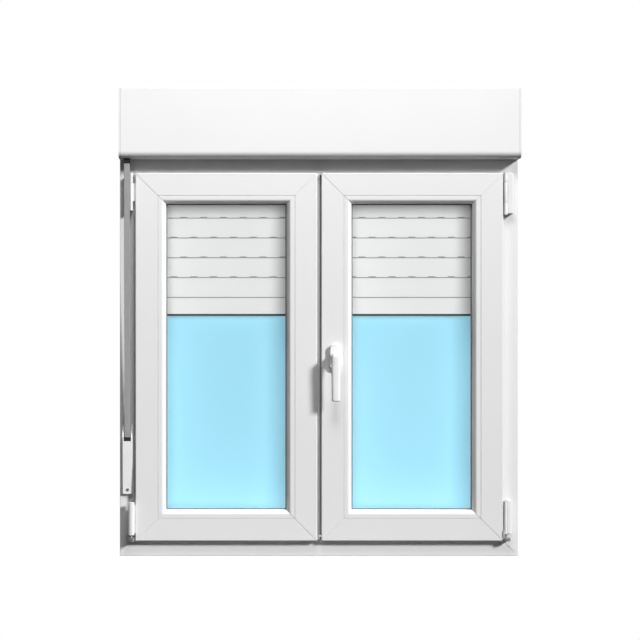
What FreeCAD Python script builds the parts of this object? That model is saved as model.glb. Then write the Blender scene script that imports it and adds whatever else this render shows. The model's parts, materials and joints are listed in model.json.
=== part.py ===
"""White PVC double casement window with a roller-shutter box, a strap and a winder.

Millimetres, +Z up, +X to the right as seen from the room, +Y towards the outdoors.
Every shape is drawn with y = 0 at the room face of the outer frame. save() then moves it
back by half the frame's depth, so the origin lies at the middle of the frame's underside.
The left leaf only turns and carries the false mullion. The right leaf turns and tilts.
"""
import FreeCAD, Part
import math
import os

V = FreeCAD.Vector
AXES = {"x": V(1, 0, 0), "y": V(0, 1, 0), "z": V(0, 0, 1)}

# Outer frame
WIDTH = 1000.0
HEIGHT = 1000.0
DEPTH = 70.0
WALL = 3.0
FRAME_FACE = 48.0
STOP_FACE = 66.0
STOP_FRONT = 50.0
FRAME_RING = (-WIDTH / 2, WIDTH / 2, 0.0, HEIGHT)
FIXING_HOLE_R = 3.75
FIXING_HOLE_Y = 37.0
LEFT_FIXINGS = (110.0, 500.0, 890.0)
RIGHT_FIXINGS = (150.0, 500.0, 850.0)
STEEL_CHAMBER = (27.0, 47.0)
DRAIN_X = (-300.0, 300.0)
DRAIN_Z = (16.0, 21.0)

# Leaves: two equal sashes that stand proud of the frame
MARGIN = 40.0
HALF_GAP = 5.0
FLANGE = 20.0
SASH_FACE = 56.0
SASH_STOP = 70.0
SASH_FRONT = -20.0
FLANGE_BACK = -3.5
SASH_BACK = 48.0
GROOVE = (14.0, 26.0)
GROOVE_DEPTH = 3.0
SASH_LOW = MARGIN
SASH_HIGH = HEIGHT - MARGIN
SASH_SIDE = WIDTH / 2 - MARGIN
LEFT_RING = (-SASH_SIDE, -HALF_GAP, SASH_LOW, SASH_HIGH)
RIGHT_RING = (HALF_GAP, SASH_SIDE, SASH_LOW, SASH_HIGH)

# Double glazing, 4 + 16 + 4
PANE = 4.0
CAVITY = 16.0
GLASS_FRONT = 1.0
GLASS_EDGE = 61.0
GASKET_EDGE = 79.3
BACK_GASKET_EDGE = 73.0
BEAD_EDGE = 76.8
BEAD_JOINT = 0.4
BEAD_BACK = -1.2

# Soft lips between the leaves: the right leaf's lip lies behind the left leaf's
SEAL_RUN = (52.0, 948.0)
LEFT_LIP = 3.6
RIGHT_LIP = 3.9

# Shoot bolts of the left leaf
BOLT_X = -13.0
BOLT_Y = 35.0
BOLT_R = 5.0

# Hinge axes, seen from above
LEFT_AXIS = (-469.8, -24.0)
RIGHT_AXIS = (465.5, -19.5)
TILT_HEIGHT = 52.0
COVER_FRONT = -20.5
PIN_R = 2.5
LEFT_PIN_R = 2.0
PIVOT_R = 3.0
LEFT_KNUCKLE_R = 3.3
RIGHT_KNUCKLE_R = 4.7
LEFT_TOP_KNUCKLE = (890.0, 934.5)
RUNNING = 0.05

# Handle
HANDLE_X = 39.0
HANDLE_Z = 500.0
ROSETTE_HALF = (14.0, 33.0)
ROSETTE_FRONT = -31.0
COLLAR_FRONT = -34.0
LEVER_LENGTH = 109.0
LEVER_FRONT = -68.0
NECK_R = 10.0
SHAFT_R = 9.0
HUB_R = 8.0
SQUARE_HALF = 3.5

# Shutter box
BOX_FRONT = -52.0
BOX_BACK = 128.0
BOX_TOP = 1178.0
BOX_LIP = 995.0
BOX_WALL = 3.0
CAP_WALL = 4.0
COVER_GAP = 0.6
TOP_ROUND = 11.0
NOSE_ROUND = 16.0
COVER_SPLIT = -40.0
COVER_JOINT = 3.0
AXLE = (36.0, 1087.0)
AXLE_FLATS = 40.0
AXLE_PIN_R = 6.0

# Shutter curtain and its guides
CURTAIN_Y = 90.0
CURTAIN_HALF = 4.5
SLAT_PITCH = 50.8
SLAT_GAP = 1.7
SLAT_COUNT = 8
SLAT_END = 468.5
FIRST_LINE = 648.9
END_SLAT_LOW = 606.5
SEAL_LOW = 601.2
GUIDE_IN = 456.0
GUIDE_BACK = 108.0
VENT_LENGTH = 18.0
VENT_HEIGHT = 2.3
VENT_PITCH = 50.8
VENT_SHIFT = (13.0, -12.0)

# Strap and winder on the left jamb
STRAP_X = -480.5
STRAP_WIDTH = 14.0
STRAP_THICK = 1.2
PULLEY_COIL_R = 66.0
DRUM = (31.0, 225.0)
DRUM_COIL_R = 25.0
WINDER_X = (-493.0, -467.5)
WINDER_LOW = 155.0
WINDER_MOUTH = 289.0
WINDER_HIGH = 299.0
CHEEK_TOP = 331.0
WINDER_SCREW = 167.0
POCKET_X = (-490.0, -470.5)
POCKET_Z = (168.0, 288.0)


def place(axis, a, b, along):
    """The point (a, b) of a section, put at a distance along the section's axis."""
    if axis == "x":
        return V(along, a, b)
    if axis == "y":
        return V(a, along, b)
    return V(a, b, along)


def block(x, y, z):
    return Part.makeBox(x[1] - x[0], y[1] - y[0], z[1] - z[0], V(x[0], y[0], z[0]))


def rod(radius, axis, centre, along):
    start = place(axis, centre[0], centre[1], along[0])
    return Part.makeCylinder(radius, along[1] - along[0], start, AXES[axis])


def wire(outline, axis, at):
    """A closed wire through (a, b) corners. A third value rounds its corner."""
    count = len(outline)
    ends = []
    for index, corner in enumerate(outline):
        here = place(axis, corner[0], corner[1], at)
        if len(corner) == 2:
            ends.append((here, None, here))
            continue
        radius = corner[2]
        last = outline[index - 1]
        following = outline[(index + 1) % count]
        back = (place(axis, last[0], last[1], at) - here).normalize()
        ahead = (place(axis, following[0], following[1], at) - here).normalize()
        half = back.getAngle(ahead) / 2
        reach = radius / math.tan(half)
        inward = (back + ahead).normalize()
        middle = here + inward * (radius / math.sin(half) - radius)
        ends.append((here + back * reach, middle, here + ahead * reach))
    edges = []
    for index, (start, middle, end) in enumerate(ends):
        if middle is not None:
            edges.append(Part.Arc(start, middle, end).toShape())
        following = ends[(index + 1) % count][0]
        if end.distanceToPoint(following) > 1e-6:
            edges.append(Part.makeLine(end, following))
    return Part.Wire(edges)


def bar(outline, axis, along):
    """The outline, extruded along an axis from along[0] to along[1]."""
    face = Part.Face(wire(outline, axis, along[0]))
    return face.extrude(AXES[axis] * (along[1] - along[0]))


def rectangle(a, b):
    return [(a[0], b[0]), (a[1], b[0]), (a[1], b[1]), (a[0], b[1])]


def widened(span, by):
    return (span[0] - by, span[1] + by)


def cut_all(solid, tools):
    for tool in tools:
        solid = solid.cut(tool)
    return solid


def join(solids):
    whole = solids[0]
    for solid in solids[1:]:
        whole = whole.fuse(solid)
    return whole.removeSplitter()


def save(name, *solids):
    """Write one node, moved so that the origin is at the middle of the frame's depth."""
    whole = solids[0] if len(solids) == 1 else Part.makeCompound(list(solids))
    whole = whole.copy()
    whole.translate(V(0, -DEPTH / 2, 0))
    whole.exportStep("parts/" + name + ".step")


# Rails of rectangular rings: a section is drawn as (u, y), with u measured inwards from the ring's edge

def laid(points, ring, side):
    """A section's points in the plane that this rail is extruded from."""
    x0, x1, z0, z1 = ring
    shapes = {
        "sill": lambda p: (p[1], z0 + p[0]),
        "head": lambda p: (p[1], z1 - p[0]),
        "left": lambda p: (x0 + p[0], p[1]),
        "right": lambda p: (x1 - p[0], p[1]),
    }
    return [shapes[side](p) + tuple(p[2:]) for p in points]


def run_of(ring, side):
    x0, x1, z0, z1 = ring
    return ("x", (x0, x1)) if side in ("sill", "head") else ("z", (z0, z1))


def mitre(ring, side):
    """The wedge between the two corner diagonals that one rail fills."""
    x0, x1, z0, z1 = ring
    deep = min(x1 - x0, z1 - z0) / 2
    corners = {
        "sill": [(x0, z0), (x1, z0), (x1 - deep, z0 + deep), (x0 + deep, z0 + deep)],
        "head": [(x0, z1), (x1, z1), (x1 - deep, z1 - deep), (x0 + deep, z1 - deep)],
        "left": [(x0, z0), (x0, z1), (x0 + deep, z1 - deep), (x0 + deep, z0 + deep)],
        "right": [(x1, z0), (x1, z1), (x1 - deep, z1 - deep), (x1 - deep, z0 + deep)],
    }
    outline = []
    for corner in corners[side]:
        if corner not in outline:
            outline.append(corner)
    return bar(outline, "y", (-60.0, 140.0))


def rail(section, hollows, ring, side):
    axis, along = run_of(ring, side)
    solid = bar(laid(section, ring, side), axis, along)
    tools = [bar(laid(rectangle(h[:2], h[2:]), ring, side), axis, along) for h in hollows]
    return cut_all(solid, tools).common(mitre(ring, side)).Solids[0]


def ring_of(section, hollows, ring):
    return [rail(section, hollows, ring, side) for side in ("sill", "head", "left", "right")]


def closed_ring(u, y, ring):
    """A one-piece rectangular ring, such as a gasket."""
    x0, x1, z0, z1 = ring
    outer = block((x0 + u[0], x1 - u[0]), y, (z0 + u[0], z1 - u[0]))
    return outer.cut(block((x0 + u[1], x1 - u[1]), y, (z0 + u[1], z1 - u[1])))


# Outer frame

def make_frame():
    section = [
        (0.0, 0.0, 1.5), (FRAME_FACE, 0.0, 2.0), (FRAME_FACE, STOP_FRONT),
        (STOP_FACE, STOP_FRONT, 1.0), (STOP_FACE, DEPTH, 1.5), (0.0, DEPTH),
    ]
    inner = FRAME_FACE - WALL
    hollows = [
        (WALL, inner, WALL, STEEL_CHAMBER[0] - WALL),
        (WALL, inner) + STEEL_CHAMBER,
        (WALL, STOP_FACE - WALL, STOP_FRONT + WALL, DEPTH - WALL),
    ]
    left_holes = fixing_holes(LEFT_FIXINGS)
    right_holes = fixing_holes(RIGHT_FIXINGS)
    pocket = block(widened(POCKET_X, 0.3), (-1.0, 62.0), widened(POCKET_Z, 0.3))
    drains = [block((x - 15, x + 15), (DEPTH - 5, DEPTH + 1), DRAIN_Z) for x in DRAIN_X]
    bolts = bolt_holes()
    save("frame_head", cut_all(rail(section, hollows, FRAME_RING, "head"), bolts))
    save("frame_sill", cut_all(rail(section, hollows, FRAME_RING, "sill"), drains + bolts))
    save("frame_jamb_left", cut_all(rail(section, hollows, FRAME_RING, "left"), left_holes + [pocket]))
    save("frame_jamb_right", cut_all(rail(section, hollows, FRAME_RING, "right"), right_holes))
    make_frame_steel(left_holes, right_holes)


def fixing_holes(heights):
    """Through holes for the frame screws, hidden in the rebate."""
    return [rod(FIXING_HOLE_R, "x", (FIXING_HOLE_Y, z), (-WIDTH, WIDTH)) for z in heights]


def bolt_holes():
    """The holes that the left leaf's shoot bolts enter, in the sill and in the head."""
    spans = ((35.0, FRAME_FACE + 1), (HEIGHT - FRAME_FACE - 1, HEIGHT - 35.0))
    return [rod(BOLT_R + 0.5, "z", (BOLT_X, BOLT_Y), span) for span in spans]


def steel_tube(u, y, ring, side, along):
    """A square steel tube that lies in one chamber of a rail."""
    axis = run_of(ring, side)[0]
    skin = 1.5
    tube = bar(laid(rectangle(u, y), ring, side), axis, along)
    core = rectangle((u[0] + skin, u[1] - skin), (y[0] + skin, y[1] - skin))
    return tube.cut(bar(laid(core, ring, side), axis, along))


def make_frame_steel(left_holes, right_holes):
    u = widened((WALL, FRAME_FACE - WALL), -0.6)
    y = widened(STEEL_CHAMBER, -0.6)
    end = 60.0
    across = (-WIDTH / 2 + end, WIDTH / 2 - end)
    bars = [
        cut_all(steel_tube(u, y, FRAME_RING, "sill", across), bolt_holes()),
        cut_all(steel_tube(u, y, FRAME_RING, "head", across), bolt_holes()),
        cut_all(steel_tube(u, y, FRAME_RING, "left", (CHEEK_TOP + 10, HEIGHT - end)), left_holes),
        cut_all(steel_tube(u, y, FRAME_RING, "right", (end, HEIGHT - end)), right_holes),
    ]
    save("frame_steel", *bars)


def make_frame_seals():
    lip = closed_ring((FRAME_FACE - 4, FRAME_FACE - 0.5), (-2.0, 0.0), FRAME_RING)
    lip = lip.cut(block((445.0, 460.0), (-3.0, 1.0), (STAY_Z[0] + 6, STAY_Z[1] + 1)))
    back = closed_ring((STOP_FACE - 5, STOP_FACE - 2), (STOP_FRONT - 1.6, STOP_FRONT), FRAME_RING)
    save("frame_seals", lip, back)


def make_drain_caps():
    caps = []
    for x in DRAIN_X:
        hood = bar([(DEPTH, 13.5), (DEPTH + 5, 13.5, 1.5), (DEPTH + 3, 25.5, 1.5), (DEPTH, 25.5)],
                   "x", (x - 20, x + 20))
        mouth = block((x - 17, x + 17), (DEPTH - 1, DEPTH + 3), (12, 22))
        caps.append(hood.cut(mouth))
    save("drain_caps", *caps)


# Leaves

SASH_SECTION = [
    (0.0, SASH_FRONT, 2.5), (0.0, FLANGE_BACK, 1.0), (FLANGE, FLANGE_BACK),
    (FLANGE, GROOVE[0]), (FLANGE + GROOVE_DEPTH, GROOVE[0]),
    (FLANGE + GROOVE_DEPTH, GROOVE[1]), (FLANGE, GROOVE[1]),
    (FLANGE, SASH_BACK, 1.0), (SASH_STOP, SASH_BACK, 1.5), (SASH_STOP, 28.0, 1.0),
    (SASH_FACE, 28.0), (SASH_FACE, SASH_FRONT, 0.8),
]
SASH_HOLLOWS = [
    (3.0, 20.0, -17.0, -6.5), (25.0, 53.0, -17.0, 5.0), (25.0, 53.0, 8.0, 30.0),
    (25.0, 53.0, 33.0, 45.0), (59.0, SASH_STOP - WALL, 31.0, 45.0),
]
STEEL_U = (25.6, 52.4)
STEEL_Y = (8.6, 29.4)


def make_leaf(side, ring, tools, stile_breaks):
    """The parts both leaves share. stile_breaks are the steel lengths in the meeting stile."""
    x0, x1, z0, z1 = ring
    rails = ring_of(SASH_SECTION, SASH_HOLLOWS, ring)
    save(side + "_sash_frame", *[cut_all(one, tools) for one in rails])
    meeting, hinged = ("right", "left") if side == "left" else ("left", "right")
    inset = SASH_FACE + 6
    steels = [
        steel_tube(STEEL_U, STEEL_Y, ring, "sill", (x0 + inset, x1 - inset)),
        steel_tube(STEEL_U, STEEL_Y, ring, "head", (x0 + inset, x1 - inset)),
        steel_tube(STEEL_U, STEEL_Y, ring, hinged, (z0 + inset, z1 - inset)),
    ]
    steels += [steel_tube(STEEL_U, STEEL_Y, ring, meeting, span) for span in stile_breaks]
    save(side + "_sash_steel", *steels)
    make_glazing(side, ring)


def make_glazing(side, ring):
    x0, x1, z0, z1 = ring
    glass_x = (x0 + GLASS_EDGE, x1 - GLASS_EDGE)
    glass_z = (z0 + GLASS_EDGE, z1 - GLASS_EDGE)
    inner = (GLASS_FRONT, GLASS_FRONT + PANE)
    outer = (inner[1] + CAVITY, inner[1] + CAVITY + PANE)
    save(side + "_glass", block(glass_x, inner, glass_z), block(glass_x, outer, glass_z))
    save(side + "_spacer", closed_ring((GLASS_EDGE + 2, GLASS_EDGE + 12), (inner[1], outer[0]), ring))
    bead = [
        (SASH_FACE + BEAD_JOINT, SASH_FRONT + 0.5, 0.8), (68.0, SASH_FRONT + 0.5, 7.0),
        (BEAD_EDGE - 1.2, -12.5, 7.0), (BEAD_EDGE, BEAD_BACK), (SASH_FACE + BEAD_JOINT, BEAD_BACK),
    ]
    save(side + "_beads", *ring_of(bead, [], ring))
    room_gasket = closed_ring((66.0, GASKET_EDGE), (BEAD_BACK, GLASS_FRONT), ring)
    back_gasket = closed_ring((64.0, BACK_GASKET_EDGE), (outer[1], 28.0), ring)
    lips = {
        "left": [(MULLION[1][0], -2.9), (LEFT_LIP, -2.9), (LEFT_LIP, -1.1), (MULLION[1][0], -1.1)],
        "right": [
            (8.5, FLANGE_BACK), (8.5, 1.0), (RIGHT_LIP, 1.0), (RIGHT_LIP, 0.0), (6.5, 0.0), (6.5, FLANGE_BACK),
        ],
    }
    save(side + "_gaskets", room_gasket, back_gasket, bar(lips[side], "z", SEAL_RUN))


MULLION = [(-25.0, -3.0), (1.5, -3.0, 0.8), (1.5, 14.0), (-3.5, 46.0, 1.5), (-25.0, 46.0)]
MULLION_CAP_X = (-4.8, 1.5)
MULLION_CAP_Y = (-7.0, -2.9)
MULLION_CORE = [(-22.5, -0.5), (-1.5, -0.5), (-1.5, 13.0), (-5.5, 43.0), (-22.5, 43.0)]


def make_false_mullion():
    run = (SASH_LOW + 10, SASH_HIGH - 10)
    solid = bar(MULLION, "z", run)
    core = bar(MULLION_CORE, "z", widened(run, -8.0))
    channel = rod(BOLT_R + 0.2, "z", (BOLT_X, BOLT_Y), (SASH_LOW, SASH_HIGH))
    low_cap = block(MULLION_CAP_X, MULLION_CAP_Y, (SASH_LOW + 1.5, run[0] + 2))
    high_cap = block(MULLION_CAP_X, MULLION_CAP_Y, (run[1] - 2, SASH_HIGH - 1.5))
    save("false_mullion", join([cut_all(solid, [core, channel]), low_cap, high_cap]))
    for name, span in (("left_bolt_top", (800.0, 949.0)), ("left_bolt_bottom", (51.0, 200.0))):
        shank = rod(BOLT_R, "z", (BOLT_X, BOLT_Y), span)
        save(name, shank.makeChamfer(1.0, [e for e in shank.Edges if e.Closed]))


def make_lock_rod():
    """The flat drive rod in the meeting stile's groove, with its four locking cams."""
    x = (HALF_GAP + FLANGE + 0.3, HALF_GAP + FLANGE + GROOVE_DEPTH - 0.2)
    strip = block(x, widened(GROOVE, -0.3), (110.0, 850.0))
    middle = sum(GROOVE) / 2
    cams = []
    for z in (150.0, 380.0, 610.0, 830.0):
        stem = rod(3.0, "x", (middle, z), (18.0, x[0]))
        head = rod(5.0, "x", (middle, z), (16.5, 18.5))
        cams += [stem, head]
    save("lock_rod", join([strip] + cams))


# Handle and its gearbox

def handle_rod(radius, y):
    return rod(radius, "y", (HANDLE_X, HANDLE_Z), y)


def make_gearbox():
    case = block((HALF_GAP + FLANGE + GROOVE_DEPTH + 0.2, 50.0), (9.0, 29.0), (HANDLE_Z - 54, HANDLE_Z + 54))
    save("gearbox", case.cut(handle_rod(HUB_R + RUNNING, (0.0, 40.0))))


def make_rosette():
    half_x, half_z = ROSETTE_HALF
    round_off = half_x - 0.4
    plate = bar([
        (HANDLE_X - half_x, HANDLE_Z - half_z, round_off), (HANDLE_X + half_x, HANDLE_Z - half_z, round_off),
        (HANDLE_X + half_x, HANDLE_Z + half_z, round_off), (HANDLE_X - half_x, HANDLE_Z + half_z, round_off),
    ], "y", (ROSETTE_FRONT, SASH_FRONT))
    front = [e for e in plate.Edges if abs(e.BoundBox.YMax - ROSETTE_FRONT) < 0.01]
    plate = plate.makeFillet(3.0, front)
    collar = handle_rod(SHAFT_R + 2.5, (COLLAR_FRONT, ROSETTE_FRONT + 1))
    save("handle_rosette", join([plate, collar]).cut(handle_rod(SHAFT_R + RUNNING, (-40.0, -10.0))))


def make_lever():
    """The grip: its front outline and its side outline, one extruded through the other, on a round neck."""
    tip = HANDLE_Z - LEVER_LENGTH
    top = HANDLE_Z + 12.0
    back = LEVER_FRONT + 18.0
    front = bar([
        (HANDLE_X - 11.8, top, 11.5), (HANDLE_X + 11.8, top, 11.5),
        (HANDLE_X + 10.2, tip, 3.5), (HANDLE_X - 10.2, tip, 3.5),
    ], "y", (LEVER_FRONT - 2, back + 2))
    side = bar([
        (LEVER_FRONT, top + 1, 14.0), (back, top + 1, 3.0), (back, HANDLE_Z - 13.0, 8.0),
        (back - 4.0, HANDLE_Z - 28.0, 20.0), (back - 4.0, tip - 1, 3.0), (LEVER_FRONT + 2.0, tip - 1, 4.0),
    ], "x", (HANDLE_X - 20, HANDLE_X + 20))
    neck = handle_rod(NECK_R, (back - 4.0, COLLAR_FRONT - 0.4))
    shaft = handle_rod(SHAFT_R, (COLLAR_FRONT - 2, -19.0))
    hole = square_bar((back, 0.0))
    save("handle_lever", join([front.common(side), neck, shaft]).cut(hole))


def square_bar(y):
    half = SQUARE_HALF
    return block((HANDLE_X - half, HANDLE_X + half), y, (HANDLE_Z - half, HANDLE_Z + half))


def make_spindle():
    hub = handle_rod(HUB_R, (10.0, 28.0))
    save("handle_spindle", join([square_bar((LEVER_FRONT + 18.5, 27.0)), hub]))


# Hinges

def knuckle(axis, radius, z, bore):
    barrel = rod(radius, "z", axis, z)
    return barrel.cut(rod(bore, "z", axis, (z[0] - 1, z[1] + 1))) if bore else barrel


def make_left_top_hinge():
    x, y = LEFT_AXIS
    middle = LEFT_TOP_KNUCKLE
    web_x = widened((x, x), 2.7)
    frame_side = [block(web_x, (-3.0, 0.0), widened(middle, 0.5))]
    for z in ((866.0, middle[0] - 0.5), (middle[1] + 0.5, 960.0)):
        frame_side += [knuckle(LEFT_AXIS, LEFT_KNUCKLE_R, z, 0), block(web_x, (y, 0.0), z)]
    bore = rod(LEFT_PIN_R, "z", LEFT_AXIS, (860.0, 965.0))
    pin = rod(LEFT_PIN_R, "z", LEFT_AXIS, (866.5, 959.5))
    save("left_top_hinge_frame", join(frame_side).cut(bore), pin)
    arm = [
        knuckle(LEFT_AXIS, LEFT_KNUCKLE_R, middle, 0),
        block(web_x, (y, -11.0), middle),
        block((x, -SASH_SIDE), (-14.0, -11.0), middle),
    ]
    loose = rod(LEFT_PIN_R + RUNNING, "z", LEFT_AXIS, (860.0, 965.0))
    save("left_top_hinge_leaf", join(arm).cut(loose))


def make_left_bottom_hinge():
    x, y = LEFT_AXIS
    base = (x - 10.0, x + 8.0)
    shelf = bar([
        (base[0], y - 7.5, 5.0), (base[1], y - 7.5, 5.0), (base[1], 0.0), (base[0], 0.0),
    ], "z", (SASH_LOW, 49.5))
    plate = block(base, (-3.0, 0.0), (49.5, 54.0))
    pin = rod(PIVOT_R, "z", LEFT_AXIS, (49.5, 125.0))
    save("left_bottom_hinge_bracket", join([shelf, plate, pin]))
    half = 7.3
    cover = bar([
        (x - half, y - 6.5, 6.0), (x + half, y - 6.5, 6.0), (x + half, y + 7.0, 4.0), (x - half, y + 7.0, 4.0),
    ], "z", (56.0, 137.0))
    arm = block((x + 4.0, -SASH_SIDE), (y - 1.0, y + 6.0), (60.0, 130.0))
    loose = rod(PIVOT_R + RUNNING, "z", LEFT_AXIS, (50.0, 126.0))
    save("left_bottom_hinge_knuckle", join([cover, arm]).cut(loose))


def make_right_top_hinge():
    x, y = RIGHT_AXIS
    side = block((x + 5.0, x + 19.5), (COVER_FRONT, 0.0), (858.0, 960.0))
    side = side.makeFillet(2.5, [e for e in side.Edges if abs(e.BoundBox.YMax - COVER_FRONT) < 0.01])
    parts = [side]
    for z in ((856.0, 886.5), (938.5, 960.0)):
        parts.append(rod(RIGHT_KNUCKLE_R, "z", RIGHT_AXIS, z))
        parts.append(block((x, x + 10.0), (y, y + 8.0), (max(z[0], 860.0), z[1] - 2.0)))
    hinge = join(parts).cut(rod(PIN_R, "z", RIGHT_AXIS, (850.0, 970.0)))
    save("right_top_hinge_frame", hinge, rod(PIN_R, "z", RIGHT_AXIS, (856.5, 959.5)))


STAY_Z = (887.0, 938.0)
STAY_ARM_Z = (945.0, 949.8)
STAY_LINK_X = (448.6, 451.0)
STAY_END_X = 209.0


def make_stay_arm():
    x, y = RIGHT_AXIS
    reach = (STAY_Z[0] + 8, STAY_Z[1] - 1)
    parts = [
        rod(RIGHT_KNUCKLE_R, "z", RIGHT_AXIS, STAY_Z),
        block((x - 4.3, x - 1.3), (y, -0.6), reach),
        block((STAY_LINK_X[0], x - 1.3), (-3.1, -0.6), reach),
        block(STAY_LINK_X, (-3.1, 14.0), reach),
        block(STAY_LINK_X, (6.0, 14.0), (reach[0], STAY_ARM_Z[1])),
        block((STAY_END_X, STAY_LINK_X[1]), (6.0, 14.0), STAY_ARM_Z),
        rod(6.5, "z", (STAY_END_X, 10.0), STAY_ARM_Z),
    ]
    save("stay_arm", join(parts).cut(rod(PIN_R + RUNNING, "z", RIGHT_AXIS, (850.0, 970.0))))


def make_right_bottom_hinge():
    x, y = RIGHT_AXIS
    base = (x - 5.1, x + 12.0)
    shelf = bar([
        (base[0], y - 5.2, 5.0), (base[1], y - 5.2, 5.0), (base[1], 0.0), (base[0], 0.0),
    ], "z", (SASH_LOW, 46.5))
    socket = rod(PIVOT_R + RUNNING, "z", RIGHT_AXIS, (41.0, 50.0))
    save("right_bottom_hinge_bracket", shelf.cut(socket))
    cover_front = y + 4.9
    cover = block((x + 5.0, x + 15.0), (cover_front, 0.0), (57.0, 140.5))
    cover = cover.makeFillet(2.0, [e for e in cover.Edges if abs(e.BoundBox.YMax - cover_front) < 0.01])
    save("right_bottom_hinge_cover", cover)
    tilt_pin_r = 1.5
    stub = rod(PIVOT_R, "z", RIGHT_AXIS, (41.3, 55.0))
    cross = rod(tilt_pin_r, "x", (y, TILT_HEIGHT), (x - 5.6, x + 4.5))
    save("corner_pin", join([stub, cross]))
    half = 4.5
    barrel = bar([
        (x - half, y - half, 4.2), (x + half, y - half, 4.2),
        (x + half, y + half, 4.2), (x - half, y + half, 4.2),
    ], "z", (58.0, 140.0))
    ear = block((SASH_SIDE, x - 3.8), (y - 4.0, y + 12.0), (49.0, 66.0))
    arm = block((SASH_SIDE, x - 3.0), (y, y + 12.0), (60.0, 130.0))
    ear_bore = rod(tilt_pin_r + RUNNING, "x", (y, TILT_HEIGHT), (x - 8.0, x - 3.5))
    save("right_bottom_hinge_knuckle", join([barrel, arm, ear]).cut(ear_bore))


# Shutter box

def box_outline():
    """The box's side outline: its front drops below the frame's top edge."""
    return [
        (BOX_FRONT, BOX_LIP, NOSE_ROUND), (BOX_FRONT, BOX_TOP, TOP_ROUND), (BOX_BACK, BOX_TOP, 2.0),
        (BOX_BACK, HEIGHT), (0.0, HEIGHT), (0.0, BOX_LIP),
    ]


def make_box():
    half = WIDTH / 2
    inside = (-half + CAP_WALL, half - CAP_WALL)
    for side, sign in (("left", -1), ("right", 1)):
        near, far = sorted((sign * half, sign * (half - CAP_WALL)))
        plate = bar(box_outline(), "x", (near, far))
        boss_span = sorted((sign * (half - CAP_WALL), sign * (half - 9.0)))
        boss = rod(17.0, "x", AXLE, boss_span)
        bore_span = sorted((sign * (half - 1.2), sign * (half - 10.0)))
        save("box_end_" + side, join([plate, boss]).cut(rod(13.0, "x", AXLE, bore_span)))
    floor = block(inside, (-39.0, 80.0), (HEIGHT, HEIGHT + BOX_WALL))
    slot = block((STRAP_X - 9.0, STRAP_X + 9.0), (-43.0, -28.0), (HEIGHT - 1, HEIGHT + 5))
    save("box_bottom", floor.cut(slot))
    back = bar([
        (COVER_SPLIT + 0.4, BOX_TOP), (COVER_SPLIT + 0.4, BOX_TOP - BOX_WALL),
        (BOX_BACK - BOX_WALL, BOX_TOP - BOX_WALL), (BOX_BACK - BOX_WALL, HEIGHT + BOX_WALL),
        (104.0, HEIGHT + BOX_WALL), (104.0, HEIGHT), (BOX_BACK, HEIGHT), (BOX_BACK, BOX_TOP, 2.0),
    ], "x", inside)
    save("box_back", back)
    make_cover(widened(inside, -COVER_GAP))


def make_cover(span):
    """The removable room-side cover, open towards the box, with a notch for the strap."""
    skin = BOX_WALL
    shell = bar([
        (BOX_FRONT, BOX_LIP, NOSE_ROUND), (BOX_FRONT, BOX_TOP, TOP_ROUND), (COVER_SPLIT, BOX_TOP),
        (COVER_SPLIT, BOX_TOP - skin), (BOX_FRONT + skin, BOX_TOP - skin, TOP_ROUND - skin),
        (BOX_FRONT + skin, BOX_LIP + skin, NOSE_ROUND - skin), (-COVER_JOINT, BOX_LIP + skin),
        (-COVER_JOINT, BOX_LIP),
    ], "x", span)
    notch = block((STRAP_X - 10.5, STRAP_X + 10.5), (-37.5, 5.0), (BOX_LIP - 5, HEIGHT + 5))
    save("box_cover", shell.cut(notch).Solids[0])


def make_axle():
    flat = AXLE_FLATS / 2
    corner = flat * math.tan(math.pi / 8)

    def octagon(inset):
        long_side = flat - inset
        short_side = corner - inset * math.tan(math.pi / 8)
        y, z = AXLE
        signs = ((-1, -1, 0), (1, -1, 0), (1, -1, 1), (1, 1, 1), (1, 1, 0), (-1, 1, 0), (-1, 1, 1), (-1, -1, 1))
        return [(y + a * (long_side if s else short_side), z + b * (short_side if s else long_side))
                for a, b, s in signs]

    tube = bar(octagon(0.0), "x", (-468.0, 468.0)).cut(bar(octagon(1.0), "x", (-469.0, 469.0)))
    plug = bar(octagon(1.2), "x", (420.0, 470.0))
    pin = rod(AXLE_PIN_R, "x", AXLE, (465.0, 497.0))
    save("axle_tube", tube, join([plug, pin]))
    flange_r = 76.0
    pulley = [
        rod(flange_r, "x", AXLE, (STRAP_X - 10.0, STRAP_X - 8.0)),
        rod(flange_r, "x", AXLE, (STRAP_X + 8.0, STRAP_X + 10.0)),
        rod(50.0, "x", AXLE, (STRAP_X - 9.0, STRAP_X + 9.0)),
        rod(AXLE_PIN_R, "x", AXLE, (-497.0, STRAP_X)),
        bar(octagon(1.2), "x", (STRAP_X, -430.0)),
    ]
    save("strap_pulley", join(pulley))
    coil = rod(PULLEY_COIL_R, "x", AXLE, (STRAP_X - STRAP_WIDTH / 2, STRAP_X + STRAP_WIDTH / 2))
    save("pulley_strap", coil.cut(rod(50.0, "x", AXLE, (-WIDTH, WIDTH))))
    rings = []
    for sign in (-1, 1):
        span = sorted((sign * (WIDTH / 2 - 1.2), sign * (WIDTH / 2 - 9.0)))
        rings.append(rod(13.0, "x", AXLE, span).cut(rod(AXLE_PIN_R + RUNNING, "x", AXLE, (-WIDTH, WIDTH))))
    save("axle_bearings", *rings)


def make_roll():
    """The wound part of the curtain: a spiral band round the axle."""
    layer = 9.3
    band = 8.5
    start_r = 22.3
    turns = 1.75
    per_turn = 28
    count = int(turns * per_turn) + 1

    def point(radius, index):
        angle = 2 * math.pi * index / per_turn
        r = radius + layer * index / per_turn
        return (AXLE[0] + r * math.cos(angle), AXLE[1] + r * math.sin(angle))

    inner = [point(start_r, index) for index in range(count)]
    outer = [point(start_r + band, index) for index in reversed(range(count))]
    save("rolled_slats", bar(inner + outer, "x", (-466.0, 466.0)))


# Curtain

def line_height(index):
    return FIRST_LINE + SLAT_PITCH * index


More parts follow.
